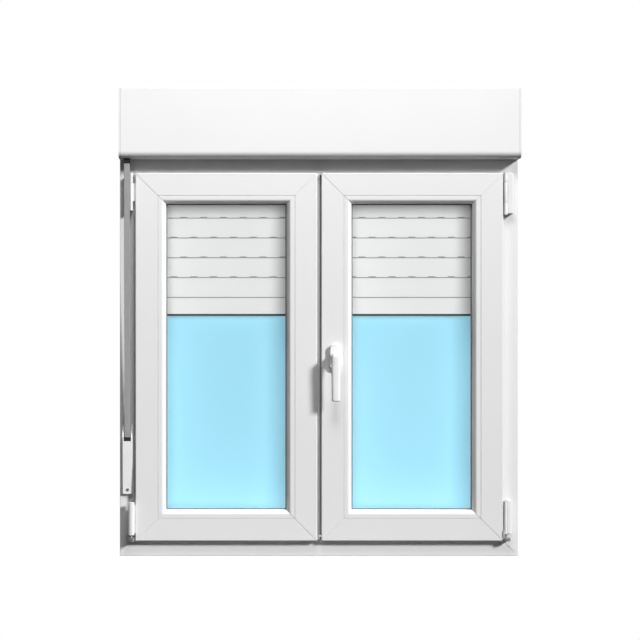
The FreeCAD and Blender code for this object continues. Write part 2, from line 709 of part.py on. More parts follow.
def slat_blank(low, high, front, back):
    """One double-walled slat with the hooked neck on top and the socket below."""
    y = CURTAIN_Y
    top = high - 0.3
    body = bar([(y + front, low, 0.5), (y + back - 0.5, low, 1.5), (y + back, (low + top) / 2, 40.0),
                (y + back - 1.0, top, 2.0), (y + front, top, 0.6)], "x", (-SLAT_END, SLAT_END))
    core = bar([(y + front + 1.1, low + 7), (y + back - 1.6, low + 7), (y + back - 2.1, top - 1.4),
                (y + front + 1.1, top - 1.4)], "x", (-WIDTH, WIDTH))
    socket = block((-WIDTH, WIDTH), (y - 2.4, y + 2.6), (low - 1, low + 5.5))
    neck = block((-SLAT_END, SLAT_END), (y + 0.6, y + 2.2), (top - 2, high + SLAT_GAP + 3.5))
    return join([body.cut(core).cut(socket), neck])


def drip_lip(low):
    """The thin lip behind a slat's foot that keeps the rain out of the slots below it."""
    back = CURTAIN_Y + CURTAIN_HALF - 0.5
    return block((-SLAT_END, SLAT_END), (back - 1.0, back), (low - SLAT_GAP + 0.3, low + 3.0))


def vents(line, shift):
    """The row of ventilation slots over a joint: through a foot's front wall and the neck behind it."""
    reach = int(SLAT_END / VENT_PITCH) - 1
    z = (line - SLAT_GAP / 2, line + SLAT_GAP / 2 + VENT_HEIGHT)
    rows = []
    for index in range(-reach, reach + 1):
        x = shift + index * VENT_PITCH
        rows.append(block((x - VENT_LENGTH / 2, x + VENT_LENGTH / 2), (CURTAIN_Y - 5, CURTAIN_Y + 2.4), z))
    return Part.makeCompound(rows)


def make_curtain():
    slats = []
    for index in range(SLAT_COUNT):
        low = line_height(index) + SLAT_GAP / 2
        high = line_height(index + 1) - SLAT_GAP / 2
        slat = join([slat_blank(low, high, -CURTAIN_HALF, CURTAIN_HALF), drip_lip(low)])
        joints = (index, index + 1) if index else (index + 1,)
        slats.append(cut_all(slat, [vents(line_height(k), VENT_SHIFT[k % 2]) for k in joints]))
    save("shutter_slats", *slats)
    end_high = FIRST_LINE - SLAT_GAP / 2
    end_slat = slat_blank(END_SLAT_LOW, end_high, -CURTAIN_HALF - 0.3, CURTAIN_HALF + 0.5)
    save("end_slat", end_slat)
    y = CURTAIN_Y
    across = (-SLAT_END + 2, SLAT_END - 2)
    seal = join([
        block(across, (y - 3.8, y + 3.8), (SEAL_LOW, END_SLAT_LOW)),
        block(across, (y - 1.4, y + 1.4), (END_SLAT_LOW - 1, END_SLAT_LOW + 5)),
    ])
    back = y + CURTAIN_HALF + 0.5
    stops = [Part.makeCone(9.0, 6.0, 12.0, V(x, back, 627.0), AXES["y"]) for x in (-330.0, 330.0)]
    save("end_slat_rubber", seal, *stops)


GUIDE_CHAMBERS = (
    ((458.5, 476.0), (72.5, 80.5)),
    ((458.5, 476.0), (99.5, 105.5)),
    ((479.5, 497.5), (72.5, 105.5)),
)


def make_guides():
    for side, sign in (("left", -1), ("right", 1)):
        outline = [
            (WIDTH / 2, DEPTH), (GUIDE_IN, DEPTH), (GUIDE_IN, 83.0), (477.0, 83.0), (477.0, 97.0),
            (GUIDE_IN, 97.0), (GUIDE_IN, GUIDE_BACK, 1.5), (WIDTH / 2, GUIDE_BACK, 1.5),
        ]
        guide = bar([(sign * p[0], p[1]) + tuple(p[2:]) for p in outline], "z", (0.0, HEIGHT))
        chambers = []
        for x, y in GUIDE_CHAMBERS:
            span = sorted((sign * x[0], sign * x[1]))
            chambers.append(block(span, y, (-1.0, HEIGHT + 1)))
        save("guide_" + side, cut_all(guide, chambers))
    brushes = []
    for sign in (-1, 1):
        span = sorted((sign * (GUIDE_IN + 1), sign * (GUIDE_IN + 7)))
        brushes.append(block(span, (83.0, 84.9), (1.0, HEIGHT - 1)))
        brushes.append(block(span, (95.1, 97.0), (1.0, HEIGHT - 1)))
    save("guide_brushes", *brushes)


# Strap and winder

def ribbon(points, thick, x):
    """A flat band of one thickness whose middle line runs through (y, z) points."""
    sides = ([], [])
    last = len(points) - 1
    for index, (y, z) in enumerate(points):
        before = points[max(index - 1, 0)]
        after = points[min(index + 1, last)]
        along = V(after[0] - before[0], after[1] - before[1], 0).normalize()
        for side, sign in zip(sides, (-1, 1)):
            side.append((y - sign * along.y * thick / 2, z + sign * along.x * thick / 2))
    return bar(sides[0] + sides[1][::-1], "x", x)


STRAP_TOP = (AXLE[0] - PULLEY_COIL_R - 0.3 - STRAP_THICK / 2, AXLE[1])
STRAP_GUIDE = (-33.0, 992.0)
STRAP_MOUTH = (-11.0, 294.0)
STRAP_DRUM = (DRUM[0] - DRUM_COIL_R - 0.3 - STRAP_THICK / 2, DRUM[1])


def strap_span(by):
    """The strap's own width, plus a margin on both sides."""
    return widened((STRAP_X - STRAP_WIDTH / 2, STRAP_X + STRAP_WIDTH / 2), by)


def make_strap():
    save("strap", ribbon([STRAP_TOP, STRAP_GUIDE, STRAP_MOUTH, STRAP_DRUM], STRAP_THICK, strap_span(0)))
    y = STRAP_GUIDE[0]
    nozzle = bar([
        (y - 4, HEIGHT), (y - 3, 984.0, 2.0), (y + 3, 984.0, 2.0), (y + 4, HEIGHT),
    ], "x", strap_span(1.0))
    flange = block(strap_span(5.0), (y - 7, y + 8), (HEIGHT + BOX_WALL, HEIGHT + BOX_WALL + 2))
    throat = block(strap_span(1.0), (y - 4, y + 4), (HEIGHT - 1, HEIGHT + BOX_WALL + 1))
    opening = block(strap_span(0.4), (y - 2, y + 2), (980.0, 1010.0))
    save("strap_guide", join([nozzle, throat, flange]).cut(opening))


def make_winder():
    mouth_x = strap_span(2.0)
    face = bar([
        (0.0, WINDER_LOW), (-8.0, WINDER_LOW, 2.5), (-14.0, 262.0, 60.0),
        (-14.5, WINDER_HIGH, 1.0), (0.0, WINDER_HIGH),
    ], "x", WINDER_X)
    edges = [e for e in face.Edges
             if e.BoundBox.XLength < 0.01 and e.BoundBox.YMin < -7.0 and e.BoundBox.ZLength > 20]
    face = face.makeFillet(1.5, edges)
    cheek = [(0.0, WINDER_HIGH - 1), (-14.5, WINDER_HIGH - 1), (-12.0, WINDER_HIGH + 6, 6.0), (0.0, CHEEK_TOP)]
    cheeks = [bar(cheek, "x", (WINDER_X[0], mouth_x[0])), bar(cheek, "x", (mouth_x[1], WINDER_X[1]))]
    body = block(POCKET_X, (-0.5, 61.0), POCKET_Z)
    inside = block(widened(POCKET_X, -1.2), (-6.0, 59.8), widened(POCKET_Z, -1.2))
    upper = bar([
        (-6.0, 240.0), (-12.0, 262.0), (-13.0, 286.5), (-2.0, 286.5), (-2.0, 240.0),
    ], "x", strap_span(1.5))
    slot = block(mouth_x, (-16.0, 1.0), (WINDER_MOUTH, WINDER_HIGH + 1))
    throat = block(strap_span(0.6), (-13.5, -7.5), (280.0, 300.0))
    middle = (WINDER_X[0] + WINDER_X[1]) / 2
    screw_r = 1.8
    screw_hole = rod(screw_r, "y", (middle, WINDER_SCREW), (-16.0, 1.0))
    case = cut_all(join([face, body] + cheeks), [inside, upper, slot, throat, screw_hole])
    save("winder_case", case.Solids[0])
    insert = block(widened(mouth_x, -0.1), (-14.0, 0.0), (WINDER_MOUTH, WINDER_HIGH))
    opening = block(strap_span(0.4), (-12.8, -8.2), (WINDER_MOUTH - 1, WINDER_HIGH + 1))
    save("winder_mouth", insert.cut(opening))
    make_winder_screw(middle, screw_r)
    make_drum()


def make_winder_screw(middle, radius):
    seat = -8.9
    shank = rod(radius, "y", (middle, WINDER_SCREW), (seat, 0.0))
    head = Part.makeCone(4.0, 3.0, 1.4, V(middle, seat, WINDER_SCREW), V(0, -1, 0))
    recess = []
    for half_x, half_z in ((2.2, 0.4), (0.4, 2.2)):
        recess.append(block((middle - half_x, middle + half_x), (seat - 1.9, seat - 0.7),
                            (WINDER_SCREW - half_z, WINDER_SCREW + half_z)))
    save("winder_screw", cut_all(join([shank, head]), recess))


def make_drum():
    x = strap_span(1.0)
    core_r = 10.0
    flange_r = DRUM_COIL_R + 3
    flange = 0.9
    drum = join([
        rod(core_r, "x", DRUM, x),
        rod(flange_r, "x", DRUM, (x[0], x[0] + flange)),
        rod(flange_r, "x", DRUM, (x[1] - flange, x[1])),
    ])
    save("winder_drum", drum)
    coil = rod(DRUM_COIL_R, "x", DRUM, strap_span(0))
    save("drum_strap", coil.cut(rod(core_r, "x", DRUM, (-WIDTH, 0.0))))


def main():
    os.makedirs("parts", exist_ok=True)
    make_frame()
    make_frame_seals()
    make_drain_caps()
    full = (SASH_LOW + SASH_FACE + 6, SASH_HIGH - SASH_FACE - 6)
    make_leaf("left", LEFT_RING, [], [full])
    opening = block((27.5, 30.5), (9.0, 29.0), (HANDLE_Z - 55, HANDLE_Z + 55))
    spindle_hole = handle_rod(SHAFT_R + 0.5, (-25.0, 9.0))
    halves = [(full[0], HANDLE_Z - 60), (HANDLE_Z + 60, full[1])]
    make_leaf("right", RIGHT_RING, [opening, spindle_hole], halves)
    make_false_mullion()
    make_lock_rod()
    make_gearbox()
    make_rosette()
    make_lever()
    make_spindle()
    make_left_top_hinge()
    make_left_bottom_hinge()
    make_right_top_hinge()
    make_stay_arm()
    make_right_bottom_hinge()
    make_box()
    make_axle()
    make_roll()
    make_curtain()
    make_guides()
    make_strap()
    make_winder()


main()
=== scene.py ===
"""White PVC double casement window with a roller-shutter box: looks, light and camera.

Metres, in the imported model's frame: x to the right seen from the room, y towards the
outdoors, z up. The origin is the middle of the outer frame's underside.
"""
import json
import math
import bmesh
import bpy
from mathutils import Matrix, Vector

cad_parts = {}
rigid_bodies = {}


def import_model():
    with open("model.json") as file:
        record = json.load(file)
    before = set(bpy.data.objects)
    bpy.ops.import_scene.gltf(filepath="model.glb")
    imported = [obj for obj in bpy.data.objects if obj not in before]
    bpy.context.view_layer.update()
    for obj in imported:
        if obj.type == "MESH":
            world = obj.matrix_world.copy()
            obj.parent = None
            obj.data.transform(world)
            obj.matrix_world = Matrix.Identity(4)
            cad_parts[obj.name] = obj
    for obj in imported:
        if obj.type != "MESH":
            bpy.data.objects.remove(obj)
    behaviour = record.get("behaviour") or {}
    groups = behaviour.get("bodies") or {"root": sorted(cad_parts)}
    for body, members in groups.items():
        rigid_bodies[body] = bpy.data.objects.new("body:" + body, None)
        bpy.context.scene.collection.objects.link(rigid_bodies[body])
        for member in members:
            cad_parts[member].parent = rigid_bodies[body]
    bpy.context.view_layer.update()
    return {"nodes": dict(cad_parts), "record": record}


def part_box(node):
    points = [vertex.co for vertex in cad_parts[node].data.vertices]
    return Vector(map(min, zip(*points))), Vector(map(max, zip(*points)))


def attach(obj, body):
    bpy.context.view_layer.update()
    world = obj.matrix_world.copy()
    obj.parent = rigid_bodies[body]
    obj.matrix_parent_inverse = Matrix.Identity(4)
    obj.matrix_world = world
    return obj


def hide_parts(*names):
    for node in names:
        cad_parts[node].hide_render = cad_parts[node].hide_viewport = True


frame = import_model()
NODES = frame["nodes"]
BODY_OF = {node: body for body, nodes in frame["record"]["behaviour"]["bodies"].items() for node in nodes}

# The frame's room face, and the depths between which the shutter slats lie, which place the painted shade
# in the slat joints
ROOM_FACE = -0.035
SLAT_DEPTH = (0.050, 0.060)

# Weld lines: how far a rail stands back from its corner diagonal, and the part of that at the faint welds
WELD_GROOVE = 0.0005
FAINT_WELD = 0.35

# Pull strap: its route as depth in front of the room face and height, and its cross-section
STRAP_ROUTE = [(-0.0309, 1.087), (-0.033, 0.992), (-0.011, 0.294), (0.0051, 0.225)]
STRAP_STEP = 0.02
STRAP_HALF_THICK = 0.00060
STRAP_EDGE = 0.0001
STRAP_FILL = 0.998
STRAP_RIBS = 6.0
STRAP_SAMPLES = 60

# Handle: the grip's half sizes and roundings, its neck as radius and distance behind the grip's front,
# and the shaft, whose ends are measured from the room face
HANDLE_AXIS_Z = 0.5
GRIP_SIDES = 56
GRIP_STEPS = 64
GRIP_HALF_WIDTH = 0.0102
GRIP_SPREAD = 0.0016
GRIP_HALF_DEPTH = 0.0062
GRIP_HUB_DEPTH = 0.0028
GRIP_TIP_ROUND = 0.0035
GRIP_CROWN = 0.0118
GRIP_CROWN_BACK = 0.0035
GRIP_LEAN = 0.0022
NECK_PROFILE = [
    (0.0104, 0.0336), (0.0100, 0.0328), (0.0098, 0.028), (0.0098, 0.022),
    (0.0101, 0.0185), (0.0108, 0.0165), (0.0112, 0.014), (0.0110, 0.008),
]
SHAFT_RADIUS = 0.009
SHAFT_ENDS = (-0.0348, -0.0190)

# Cover sleeve on the stay's knuckle
SLEEVE_AXIS = (0.4655, -0.0195 + ROOM_FACE)
SLEEVE_RADIUS = 0.00478
SLEEVE_ENDS = (0.8871, 0.9379)
SLEEVE_SIDES = 48

# Stage
FLOOR_X = 4.0
FLOOR_Y = (-5.0, 0.78)
SKY_HALF_WIDTH = 0.452
SKY_Y = 0.0755
SKY_Z = (0.03, 0.99)
MODEL_MIDDLE = (0.0, 0.0, 0.59)


# ---------------------------------------------------------------- shading

class Nodes:
    """A material's node tree with short calls for its nodes and links."""

    def __init__(self, name):
        self.material = bpy.data.materials.new(name)
        self.material.use_nodes = True
        self.tree = self.material.node_tree
        self.shader = self.tree.nodes["Principled BSDF"]
        self.output = self.tree.nodes["Material Output"]
        self.place = self.add("ShaderNodeTexCoord").outputs["Object"]

    def add(self, kind, **settings):
        node = self.tree.nodes.new(kind)
        for key, value in settings.items():
            setattr(node, key, value)
        return node

    def link(self, source, target):
        self.tree.links.new(source, target)

    def set(self, **values):
        """Plain values on the shader's own sockets."""
        for key, value in values.items():
            self.shader.inputs[key.replace("_", " ")].default_value = value

    def stretched(self, scale):
        """Object coordinates, scaled along each axis."""
        node = self.add("ShaderNodeMapping")
        node.inputs["Scale"].default_value = scale
        self.link(self.place, node.inputs["Vector"])
        return node.outputs["Vector"]

    def noise(self, scale, detail=3.0, rough=0.5, vector=None):
        node = self.add("ShaderNodeTexNoise")
        node.inputs["Scale"].default_value = scale
        node.inputs["Detail"].default_value = detail
        node.inputs["Roughness"].default_value = rough
        self.link(vector or self.place, node.inputs["Vector"])
        return node.outputs["Fac"]

    def ramp(self, source, *stops):
        """Colours or greys between positions of a source value."""
        node = self.add("ShaderNodeValToRGB")
        elements = node.color_ramp.elements
        for index, (position, colour) in enumerate(stops):
            if index >= len(elements):
                elements.new(position)
            elements[index].position = position
            if not isinstance(colour, tuple):
                colour = (colour, colour, colour)
            elements[index].color = colour + (1.0,)
        self.link(source, node.inputs["Fac"])
        return node.outputs["Color"]

    def bump(self, height, strength, distance, normal=None):
        node = self.add("ShaderNodeBump")
        node.inputs["Strength"].default_value = strength
        node.inputs["Distance"].default_value = distance
        self.link(height, node.inputs["Height"])
        if normal is not None:
            self.link(normal, node.inputs["Normal"])
        return node.outputs["Normal"]

    def colour(self, source):
        self.link(source, self.shader.inputs["Base Color"])

    def rough(self, source):
        self.link(source, self.shader.inputs["Roughness"])

    def normal(self, source):
        self.link(source, self.shader.inputs["Normal"])


def tint(base, factor):
    return tuple(min(1.0, c * factor) for c in base)


def extruded_plastic(name, base, shine=0.32):
    """White PVC: a faint cloudiness, fine orange peel and a satin gloss that varies a little."""
    n = Nodes(name)
    cloud = n.noise(9.0, 4.0)
    n.colour(n.ramp(cloud, (0.3, tint(base, 0.985)), (0.7, base)))
    fine = n.noise(1.0, 2.0, 0.6, n.stretched((260.0, 260.0, 260.0)))
    n.rough(n.ramp(fine, (0.3, shine - 0.03), (0.7, shine + 0.04)))
    n.normal(n.bump(fine, 0.12, 0.0004))
    n.set(IOR=1.53, Specular_IOR_Level=0.5)
    return n.material


def lacquered_slat(name, base, shine=0.45):
    """Lacquered shutter slat: smooth faces, with painted shade in the joints between them."""
    n = Nodes(name)
    cloud = n.noise(9.0, 4.0)
    lacquer = n.ramp(cloud, (0.3, tint(base, 0.985)), (0.7, base))
    # Painted shade: the colour falls to 40% on faces that lie back in the joints between the slats, picked
    # out by their depth
    split = n.add("ShaderNodeSeparateXYZ")
    n.link(n.place, split.inputs[0])
    depth = n.add("ShaderNodeMapRange")
    depth.inputs["From Min"].default_value = SLAT_DEPTH[0]
    depth.inputs["From Max"].default_value = SLAT_DEPTH[1]
    n.link(split.outputs["Y"], depth.inputs["Value"])
    dust_and_joint_shade = n.ramp(depth.outputs["Result"], (0.09, 1.0), (0.15, 0.40), (0.80, 0.40), (0.88, 1.0))
    both = n.add("ShaderNodeMixRGB", blend_type="MULTIPLY")
    both.inputs["Fac"].default_value = 1.0
    n.link(lacquer, both.inputs["Color1"])
    n.link(dust_and_joint_shade, both.inputs["Color2"])
    n.colour(both.outputs["Color"])
    fine = n.noise(1.0, 2.0, 0.6, n.stretched((20.0, 600.0, 600.0)))
    n.rough(n.ramp(fine, (0.3, shine - 0.03), (0.7, shine + 0.04)))
    n.normal(n.bump(fine, 0.12, 0.0004))
    return n.material


def powder_coat(name, base, shine=0.36):
    """Powder coat on metal: a close orange peel under a soft gloss."""
    n = Nodes(name)
    cloud = n.noise(30.0, 3.0)
    n.colour(n.ramp(cloud, (0.3, tint(base, 0.98)), (0.7, base)))
    peel = n.noise(900.0, 2.0, 0.55)
    n.rough(n.ramp(peel, (0.35, shine - 0.05), (0.65, shine + 0.05)))
    n.normal(n.bump(peel, 0.2, 0.0003))
    n.set(Coat_Weight=0.15, Coat_Roughness=0.2)
    return n.material


def brushed_metal(name, base, shine=0.34, along=(40.0, 2200.0, 2200.0)):
    """Plated steel with fine marks along its length and a cloudy zinc bloom."""
    n = Nodes(name)
    n.set(Metallic=1.0)
    streak = n.noise(1.0, 3.0, 0.6, n.stretched(along))
    bloom = n.noise(70.0, 5.0, 0.6)
    n.colour(n.ramp(bloom, (0.3, tint(base, 0.86)), (0.7, base)))
    n.rough(n.ramp(streak, (0.3, shine - 0.08), (0.7, shine + 0.12)))
    n.normal(n.bump(streak, 0.18, 0.0002))
    return n.material


def soft_rubber(name, base, shine=0.6):
    """Dull weather seal with a dusty surface."""
    n = Nodes(name)
    dust_and_joint_shade = n.noise(140.0, 5.0, 0.65)
    n.colour(n.ramp(dust_and_joint_shade, (0.35, base), (0.75, tint(base, 1.5))))
    n.rough(n.ramp(dust_and_joint_shade, (0.3, shine - 0.06), (0.7, shine + 0.12)))
    n.normal(n.bump(n.noise(2500.0, 2.0), 0.25, 0.0002))
    return n.material


def moulded_plastic(name, base, shine=0.42):
    """Injection-moulded plastic with a light spark-eroded grain."""
    n = Nodes(name)
    grain = n.noise(1400.0, 3.0, 0.6)
    cloud = n.noise(25.0, 3.0)
    n.colour(n.ramp(cloud, (0.3, tint(base, 0.96)), (0.7, base)))
    n.rough(n.ramp(grain, (0.3, shine - 0.05), (0.7, shine + 0.07)))
    n.normal(n.bump(grain, 0.22, 0.0002))
    return n.material


def woven_strap(name, base):
    """Flat woven strap: ribs along its length and a fine cross weave."""
    n = Nodes(name)
    cross = n.add("ShaderNodeTexWave", wave_type="BANDS", bands_direction="Z")
    cross.inputs["Scale"].default_value = 260.0
    cross.inputs["Distortion"].default_value = 1.5
    n.link(n.place, cross.inputs["Vector"])
    fibre = n.noise(1.0, 4.0, 0.6, n.stretched((3000.0, 3000.0, 250.0)))
    mix = n.add("ShaderNodeMath", operation="MULTIPLY")
    n.link(cross.outputs["Fac"], mix.inputs[0])
    n.link(fibre, mix.inputs[1])
    n.colour(n.ramp(mix.outputs[0], (0.1, tint(base, 0.72)), (0.6, tint(base, 1.15))))
    n.rough(n.ramp(fibre, (0.3, 0.78), (0.7, 0.92)))
    n.normal(n.bump(mix.outputs[0], 0.5, 0.0004))
    n.set(Sheen_Weight=0.25, Sheen_Roughness=0.5)
    return n.material


def brush_pile(name, base):
    """Dense upright pile of a guide's brush strip."""
    n = Nodes(name)
    fibre = n.noise(1.0, 4.0, 0.7, n.stretched((900.0, 900.0, 5000.0)))
    n.colour(n.ramp(fibre, (0.3, tint(base, 0.5)), (0.7, tint(base, 1.2))))
    n.rough(n.ramp(fibre, (0.3, 0.85), (0.7, 0.98)))
    n.normal(n.bump(fibre, 0.7, 0.0006))
    n.set(Sheen_Weight=0.3)
    return n.material


def clear_glass(name):
    """Float glass: lets light and sight through, with a faint cool tint and a weak mirror."""
    n = Nodes(name)
    n.tree.nodes.remove(n.shader)
    through = n.add("ShaderNodeBsdfTransparent")
    wave = n.noise(3.0, 2.0)
    cool = n.ramp(wave, (0.3, (0.995, 0.998, 0.998)), (0.7, (0.998, 0.999, 0.999)))
    n.link(cool, through.inputs["Color"])
    mirror = n.add("ShaderNodeBsdfGlossy")
    mirror.inputs["Roughness"].default_value = 0.02
    facing = n.add("ShaderNodeLayerWeight")
    facing.inputs["Blend"].default_value = 0.12
    mix = n.add("ShaderNodeMixShader")
    n.link(n.ramp(facing.outputs["Fresnel"], (0.0, 0.0), (1.0, 0.22)), mix.inputs["Fac"])
    n.link(through.outputs[0], mix.inputs[1])
    n.link(mirror.outputs[0], mix.inputs[2])
    n.link(mix.outputs[0], n.output.inputs["Surface"])
    return n.material


WHITE = (0.78, 0.78, 0.78)
FINISH = {
    "pvc_white": extruded_plastic("pvc_white", WHITE),
    "box_white": extruded_plastic("box_white", (0.80, 0.80, 0.80), 0.36),
    "guide_white": extruded_plastic("guide_white", WHITE, 0.36),
    "slat_white": lacquered_slat("slat_white", (0.86, 0.86, 0.86)),
    "zinc_steel": brushed_metal("zinc_steel", (0.62, 0.63, 0.65)),
    "hinge_metal": brushed_metal("hinge_metal", (0.52, 0.52, 0.53), 0.4),
    "hinge_white": moulded_plastic("hinge_white", (0.79, 0.79, 0.79), 0.33),
    "handle_white": powder_coat("handle_white", (0.85, 0.85, 0.85)),
    "glass_clear": clear_glass("glass_clear"),
    "spacer_metal": brushed_metal("spacer_metal", (0.66, 0.66, 0.67), 0.3, (2200.0, 2200.0, 40.0)),
    "rubber_black": soft_rubber("rubber_black", (0.035, 0.035, 0.036)),
    "rubber_grey": soft_rubber("rubber_grey", (0.15, 0.15, 0.152), 0.55),
    "brush_grey": brush_pile("brush_grey", (0.12, 0.12, 0.125)),
    "strap_grey": woven_strap("strap_grey", (0.36, 0.36, 0.36)),
    "winder_white": moulded_plastic("winder_white", (0.86, 0.86, 0.86), 0.36),
    "black_plastic": moulded_plastic("black_plastic", (0.02, 0.02, 0.021), 0.45),
    "grey_plastic": moulded_plastic("grey_plastic", (0.17, 0.17, 0.175), 0.45),
}

# What the front fill lights from the room, in place of the key and the top fill
BEHIND_GLASS = {"shutter_slats", "end_slat", "end_slat_rubber", "sky_board"}


def dress_nodes():
    """Every CAD node takes its slot's procedural finish."""
    for node in NODES.values():
        for slot in node.material_slots:
            slot.material = FINISH[slot.material.name.split(".")[0]]


# ---------------------------------------------------------------- refined pieces

def add_piece(name, mesh, body, slot, node=None):
    """A finished mesh as a piece that rides on a body, and may stand for a CAD node."""
    mesh.materials.clear()
    mesh.materials.append(FINISH[slot])
    piece = bpy.data.objects.new(name, mesh)
    bpy.context.scene.collection.objects.link(piece)
    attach(piece, body)
    if node:
        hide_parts(node)


def nearest_rail(point, low, high):
    """The rail of a rectangular ring that holds a point: the corner diagonals divide them."""
    gaps = {
        "sill": point.z - low.z, "head": high.z - point.z,
        "left": point.x - low.x, "right": high.x - point.x,
    }
    return min(gaps, key=gaps.get)


def mitre_grooves(node, ring):
    """Copy a welded ring's rails, and draw each back a little from the corner diagonals."""
    mesh = NODES[node].data.copy()
    low, high = ring
    rails = {}
    for face in mesh.polygons:
        inside = face.center - face.normal * 0.0002
        rail = nearest_rail(inside, low, high)
        for index in face.vertices:
            rails[index] = rail
    for index, rail in rails.items():
        p = mesh.vertices[index].co
        upright = rail in ("left", "right")
        across = min(p.x - low.x, high.x - p.x)
        along = min(p.z - low.z, high.z - p.z)
        if abs(across - along) > 0.00002:
            continue
        axis = 2 if upright else 0
        centre = (low + high) / 2
        open_weld = (p.x < centre.x) == (p.z > centre.z)
        back = WELD_GROOVE if open_weld else WELD_GROOVE * FAINT_WELD
        p[axis] += back if p[axis] < centre[axis] else -back
    add_piece(node.replace("_frame", "") + "_rails", mesh, BODY_OF[node], "pvc_white", node)


def ring_of(*nodes):
    """The box round one or more nodes."""
    boxes = [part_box(node) for node in nodes]
    low = Vector([min(b[0][k] for b in boxes) for k in range(3)])
    high = Vector([max(b[1][k] for b in boxes) for k in range(3)])
    return low, high


def skin(bm, rings):
    """A closed tube: quads between successive rings of vertices, and a face on each end."""
    for one, two in zip(rings, rings[1:]):
        count = len(one)
        for k in range(count):
            bm.faces.new((one[k], one[(k + 1) % count], two[(k + 1) % count], two[k]))
    bm.faces.new(rings[0])
    bm.faces.new(list(reversed(rings[-1])))


def finish_mesh(bm, name, smooth_angle=40.0):
    bmesh.ops.recalc_face_normals(bm, faces=bm.faces)
    mesh = bpy.data.meshes.new(name)
    bm.to_mesh(mesh)
    bm.free()
    for face in mesh.polygons:
        face.use_smooth = True
    mesh.set_sharp_from_angle(angle=math.radians(smooth_angle))
    return mesh


def ribbed_section(width):
    """Half thicknesses across the strap: broad ribs, thinning out at both edges."""
    section = []
    for k in range(STRAP_SAMPLES):
        u = k / (STRAP_SAMPLES - 1)
        edge = min(1.0, min(u, 1 - u) * 14.0)
        rib = 0.5 + 0.5 * math.cos(2 * math.pi * u * STRAP_RIBS)
        half = STRAP_HALF_THICK * math.sqrt(edge) * (0.66 + 0.34 * rib) if edge > 0 else STRAP_EDGE
        section.append(((u - 0.5) * width * STRAP_FILL, half))
    return section


def woven_band():
    """The pull strap, along the CAD strap's own route."""
    low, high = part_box("strap")
    width = high.x - low.x
    centre = (low.x + high.x) / 2
    points = []
    for (y0, z0), (y1, z1) in zip(STRAP_ROUTE, STRAP_ROUTE[1:]):
        steps = max(2, int((z0 - z1) / STRAP_STEP))
        points += [(y0 + (y1 - y0) * k / steps, z0 + (z1 - z0) * k / steps) for k in range(steps)]
    points.append(STRAP_ROUTE[-1])
    section = ribbed_section(width)
    bm = bmesh.new()
    rings = []
    for index, (y, z) in enumerate(points):
        before = points[max(index - 1, 0)]
        after = points[min(index + 1, len(points) - 1)]
        along = Vector((0.0, after[0] - before[0], after[1] - before[1])).normalized()
        out = Vector((0.0, along.z, -along.y))
        base = Vector((centre, y + ROOM_FACE, z))
        front = [bm.verts.new(base + Vector((x, 0, 0)) + out * half) for x, half in section]
        back = [bm.verts.new(base + Vector((x, 0, 0)) - out * half) for x, half in reversed(section)]
        rings.append(front + back)
    skin(bm, rings)
    add_piece("pull_strap", finish_mesh(bm, "pull_strap", 60.0), "frame", "strap_grey", "strap")


def superellipse(half_x, half_y, power, count):
    """Points round a rounded rectangle's outline."""
    ring = []
    for k in range(count):
        angle = 2 * math.pi * k / count
        c, s = math.cos(angle), math.sin(angle)
        ring.append((
            math.copysign(abs(c) ** (2 / power), c) * half_x,
            math.copysign(abs(s) ** (2 / power), s) * half_y,
        ))
    return ring


def round_ring(bm, x, y, z, radius):
    """A ring of vertices round an axis along y."""
    angles = [2 * math.pi * j / GRIP_SIDES for j in range(GRIP_SIDES)]
    return [bm.verts.new((x + radius * math.cos(a), y, z + radius * math.sin(a))) for a in angles]


def rounding(distance, radius):
    """How far a rounded end has opened up at a distance from its tip, from 0 to 1."""
    return math.sqrt(max(0.0, 1 - (1 - min(1.0, distance / radius)) ** 2))


def handle_grip():
    """The lever as one casting: a round neck that runs into a long softly squared grip."""
    low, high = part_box("handle_lever")
    middle_x = (low.x + high.x) / 2
    top, tip = high.z, low.z
    front = low.y
    bm = bmesh.new()
    rings = []
    for k in range(GRIP_STEPS + 1):
        z = tip + (top - tip) * (0.5 - 0.5 * math.cos(math.pi * k / GRIP_STEPS))
        up = (z - tip) / (top - tip)
        open_low = rounding(z - tip, GRIP_TIP_ROUND)
        open_top = rounding(top - z, GRIP_CROWN)
        half_x = (GRIP_HALF_WIDTH + GRIP_SPREAD * up) * (0.62 + 0.38 * open_low)
        half_x = half_x * max(0.04, open_top)
        depth = GRIP_HALF_DEPTH + GRIP_HUB_DEPTH * max(0.0, min(1.0, (up - 0.62) / 0.25))
        depth_here = depth * (0.45 + 0.55 * open_low) * (0.45 + 0.55 * open_top)
        y = front + GRIP_LEAN * (1 - up) + depth + GRIP_CROWN_BACK * (1 - open_top)
        outline = superellipse(half_x, depth_here, 3.0, GRIP_SIDES)
        rings.append([bm.verts.new((middle_x + a, y + b, z)) for a, b in outline])
    skin(bm, rings)
    skin(bm, [round_ring(bm, middle_x, front + y, HANDLE_AXIS_Z, radius) for radius, y in NECK_PROFILE])
    skin(bm, [round_ring(bm, middle_x, y + ROOM_FACE, HANDLE_AXIS_Z, SHAFT_RADIUS) for y in SHAFT_ENDS])
    add_piece("handle_grip", finish_mesh(bm, "handle_grip", 50.0), "handle", "handle_white", "handle_lever")


def stay_sleeve():
    """The white cover sleeve on the stay's knuckle, with rounded ends."""
    low, high = SLEEVE_ENDS
    profile = [(-0.0008, low), (-0.0002, low + 0.0002), (0.0, low + 0.0008), (0.0, (low + high) / 2)]
    profile += [(0.0, high - 0.0008), (-0.0002, high - 0.0002), (-0.0008, high)]
    angles = [2 * math.pi * k / SLEEVE_SIDES for k in range(SLEEVE_SIDES)]
    bm = bmesh.new()
    rings = []
    for step, z in profile:
        r = SLEEVE_RADIUS + step
        rings.append([
            bm.verts.new((SLEEVE_AXIS[0] + r * math.cos(a), SLEEVE_AXIS[1] + r * math.sin(a), z))
            for a in angles
        ])
    skin(bm, rings)
    add_piece("stay_sleeve", finish_mesh(bm, "stay_sleeve"), "stay_arm", "hinge_white")


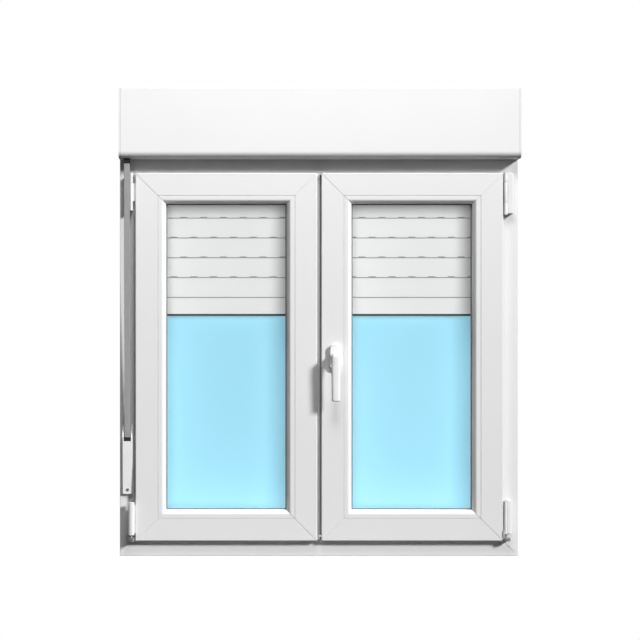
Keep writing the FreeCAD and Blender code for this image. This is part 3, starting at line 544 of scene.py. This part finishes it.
def refine():
    """Pieces that stand for their CAD nodes with finer edges or rounder shapes, and the stay's sleeve."""
    for node in ("left_sash_frame", "left_beads", "right_sash_frame", "right_beads"):
        mitre_grooves(node, ring_of(node))
    rails = ("frame_sill", "frame_head", "frame_jamb_left", "frame_jamb_right")
    for node in rails:
        mitre_grooves(node, ring_of(*rails))
    woven_band()
    handle_grip()
    stay_sleeve()


# ---------------------------------------------------------------- stage

def stage_floor():
    """A pale floor that the camera sees as plain white."""
    mesh = bpy.data.meshes.new("floor")
    near, far = FLOOR_Y
    corners = [(-FLOOR_X, near, 0.0), (FLOOR_X, near, 0.0), (FLOOR_X, far, 0.0), (-FLOOR_X, far, 0.0)]
    mesh.from_pydata(corners, [], [(0, 1, 2, 3)])
    floor = bpy.data.objects.new("floor", mesh)
    bpy.context.scene.collection.objects.link(floor)
    n = Nodes("floor_pale")
    n.colour(n.ramp(n.noise(2.0), (0.3, 0.80), (0.7, 0.82)))
    n.set(Roughness=0.8)
    glow = n.add("ShaderNodeEmission")
    path = n.add("ShaderNodeLightPath")
    mix = n.add("ShaderNodeMixShader")
    n.link(path.outputs["Is Camera Ray"], mix.inputs["Fac"])
    n.link(n.shader.outputs[0], mix.inputs[1])
    n.link(glow.outputs[0], mix.inputs[2])
    n.link(mix.outputs[0], n.output.inputs["Surface"])
    mesh.materials.append(n.material)


def area_light(name, place, size, power, receivers):
    """A round soft lamp aimed at the middle of the model, for one set of objects."""
    lamp = bpy.data.lights.new(name, "AREA")
    lamp.shape = "DISK"
    lamp.size = size
    lamp.energy = power
    holder = bpy.data.objects.new(name, lamp)
    bpy.context.scene.collection.objects.link(holder)
    holder.location = place
    aim = Vector(MODEL_MIDDLE) - Vector(place)
    holder.rotation_euler = aim.to_track_quat("-Z", "Y").to_euler()
    holder.visible_camera = False
    holder.light_linking.receiver_collection = receivers


def studio_world():
    """White for the camera, dim for mirrored rays and almost dark as a light."""
    world = bpy.data.worlds.new("studio")
    bpy.context.scene.world = world
    world.use_nodes = True
    tree = world.node_tree
    back = tree.nodes["Background"]
    back.inputs["Color"].default_value = (1.0, 1.0, 1.0, 1.0)
    path = tree.nodes.new("ShaderNodeLightPath")
    pick = tree.nodes.new("ShaderNodeMapRange")
    pick.inputs["To Min"].default_value = 0.02
    pick.inputs["To Max"].default_value = 1.0
    mirrored = tree.nodes.new("ShaderNodeMath")
    mirrored.operation = "MULTIPLY_ADD"
    mirrored.inputs[1].default_value = 0.2
    tree.links.new(path.outputs["Is Camera Ray"], pick.inputs["Value"])
    tree.links.new(path.outputs["Is Glossy Ray"], mirrored.inputs[0])
    tree.links.new(pick.outputs["Result"], mirrored.inputs[2])
    tree.links.new(mirrored.outputs[0], back.inputs["Strength"])


def light_scene():
    """Lamps for the room side, for what stands behind the glass and for the outdoor side."""
    deep = bpy.data.collections.new("behind_glass")
    shallow = bpy.data.collections.new("room_side")
    outdoors = bpy.data.collections.new("outdoor_side")
    for thing in bpy.context.scene.objects:
        if thing.type == "MESH" and thing.name != "floor":
            behind = thing.name in BEHIND_GLASS
            (deep if behind else shallow).objects.link(thing)
            if thing.name != "sky_board":
                outdoors.objects.link(thing)
    sun = bpy.data.lights.new("key", "SUN")
    sun.energy = 3.88
    sun.angle = math.radians(10.0)
    key = bpy.data.objects.new("key", sun)
    bpy.context.scene.collection.objects.link(key)
    key.rotation_euler = Vector((-1.14, 1.0, -0.78)).to_track_quat("-Z", "Y").to_euler()
    key.light_linking.receiver_collection = shallow
    area_light("top_fill", (0.0, -1.5, 2.62), 0.9, 31.0, shallow)
    area_light("front_fill", (0.35, -4.6, 1.0), 3.4, 228.0, deep)
    area_light("left_fill", (-3.2, 0.9, 1.8), 1.4, 60.0, outdoors)
    area_light("back_fill", (0.0, 3.4, 3.2), 1.6, 200.0, outdoors)
    studio_world()


def sky_board():
    """Pale sky behind the opening, seen only from the room side."""
    mesh = bpy.data.meshes.new("sky_board")
    low, high = SKY_Z
    corners = [(-SKY_HALF_WIDTH, SKY_Y, low), (SKY_HALF_WIDTH, SKY_Y, low)]
    corners += [(SKY_HALF_WIDTH, SKY_Y, high), (-SKY_HALF_WIDTH, SKY_Y, high)]
    mesh.from_pydata(corners, [], [(0, 1, 2, 3)])
    board = bpy.data.objects.new("sky_board", mesh)
    bpy.context.scene.collection.objects.link(board)
    n = Nodes("sky")
    n.colour(n.ramp(n.noise(1.0, 1.0), (0.2, (0.375, 0.765, 0.93)), (0.8, (0.385, 0.775, 0.94))))
    n.set(Roughness=1.0, Specular_IOR_Level=0.0)
    n.set(Emission_Color=(0.3, 0.6, 0.8, 1.0), Emission_Strength=0.15)
    side = n.add("ShaderNodeNewGeometry")
    clear = n.add("ShaderNodeBsdfTransparent")
    mix = n.add("ShaderNodeMixShader")
    n.link(side.outputs["Backfacing"], mix.inputs["Fac"])
    n.link(n.shader.outputs[0], mix.inputs[1])
    n.link(clear.outputs[0], mix.inputs[2])
    n.link(mix.outputs[0], n.output.inputs["Surface"])
    mesh.materials.append(n.material)
    board.visible_diffuse = False
    board.visible_glossy = False
    board.visible_shadow = False


def aim_camera():
    """Level, from the photograph's side of the middle, with a shift to frame the window."""
    lens = bpy.data.cameras.new("camera")
    lens.sensor_width = 36.0
    lens.lens = 91.6
    lens.shift_x = 0.126
    lens.shift_y = -0.036
    camera = bpy.data.objects.new("camera", lens)
    bpy.context.scene.collection.objects.link(camera)
    camera.location = (-0.200, -4.125, 0.650)
    camera.rotation_euler = (math.radians(90.0), 0.0, 0.0)
    bpy.context.scene.camera = camera


dress_nodes()
refine()
stage_floor()
sky_board()
light_scene()
aim_camera()
bpy.context.scene.view_settings.view_transform = "Standard"
